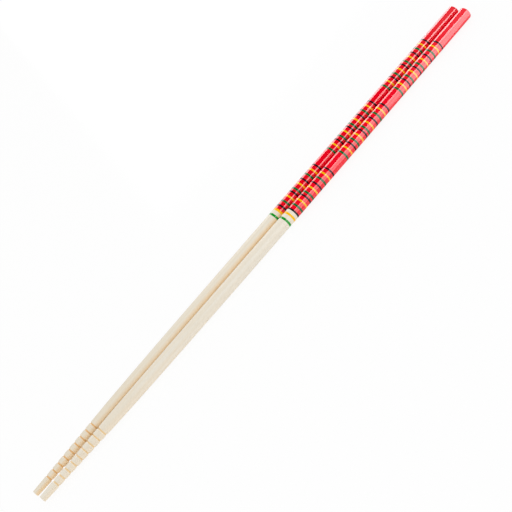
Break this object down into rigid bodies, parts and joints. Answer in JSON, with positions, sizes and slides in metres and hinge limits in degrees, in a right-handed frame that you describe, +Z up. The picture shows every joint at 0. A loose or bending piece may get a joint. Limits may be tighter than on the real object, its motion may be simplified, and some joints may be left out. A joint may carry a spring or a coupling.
{
  "type": "pair of wooden chopsticks",
  "caption": "Pair of long round wooden cooking chopsticks with grooved tapered tips and red lacquered, ringed handle ends, lying side by side.",
  "frame": {"origin": "on the table that the pair lies on, under the middle of the pair's box", "axes": "+X along the sticks from the tips to the handle ends, +Z up from the table, +Y towards the left stick as seen from above with the handle ends away"},
  "size_m": [0.3306, 0.0148, 0.007],
  "materials": {
    "left_stick_wood": "bare satin wood at the tip end, glossy red lacquer at the handle end with green, yellow and black rings",
    "right_stick_wood": "bare satin wood at the tip end, glossy red lacquer at the handle end with green, yellow and black rings"
  },
  "bodies": {
    "root": {"left_chopstick": "left_stick_wood", "right_chopstick": "right_stick_wood"}
  },
  "joints": []
}
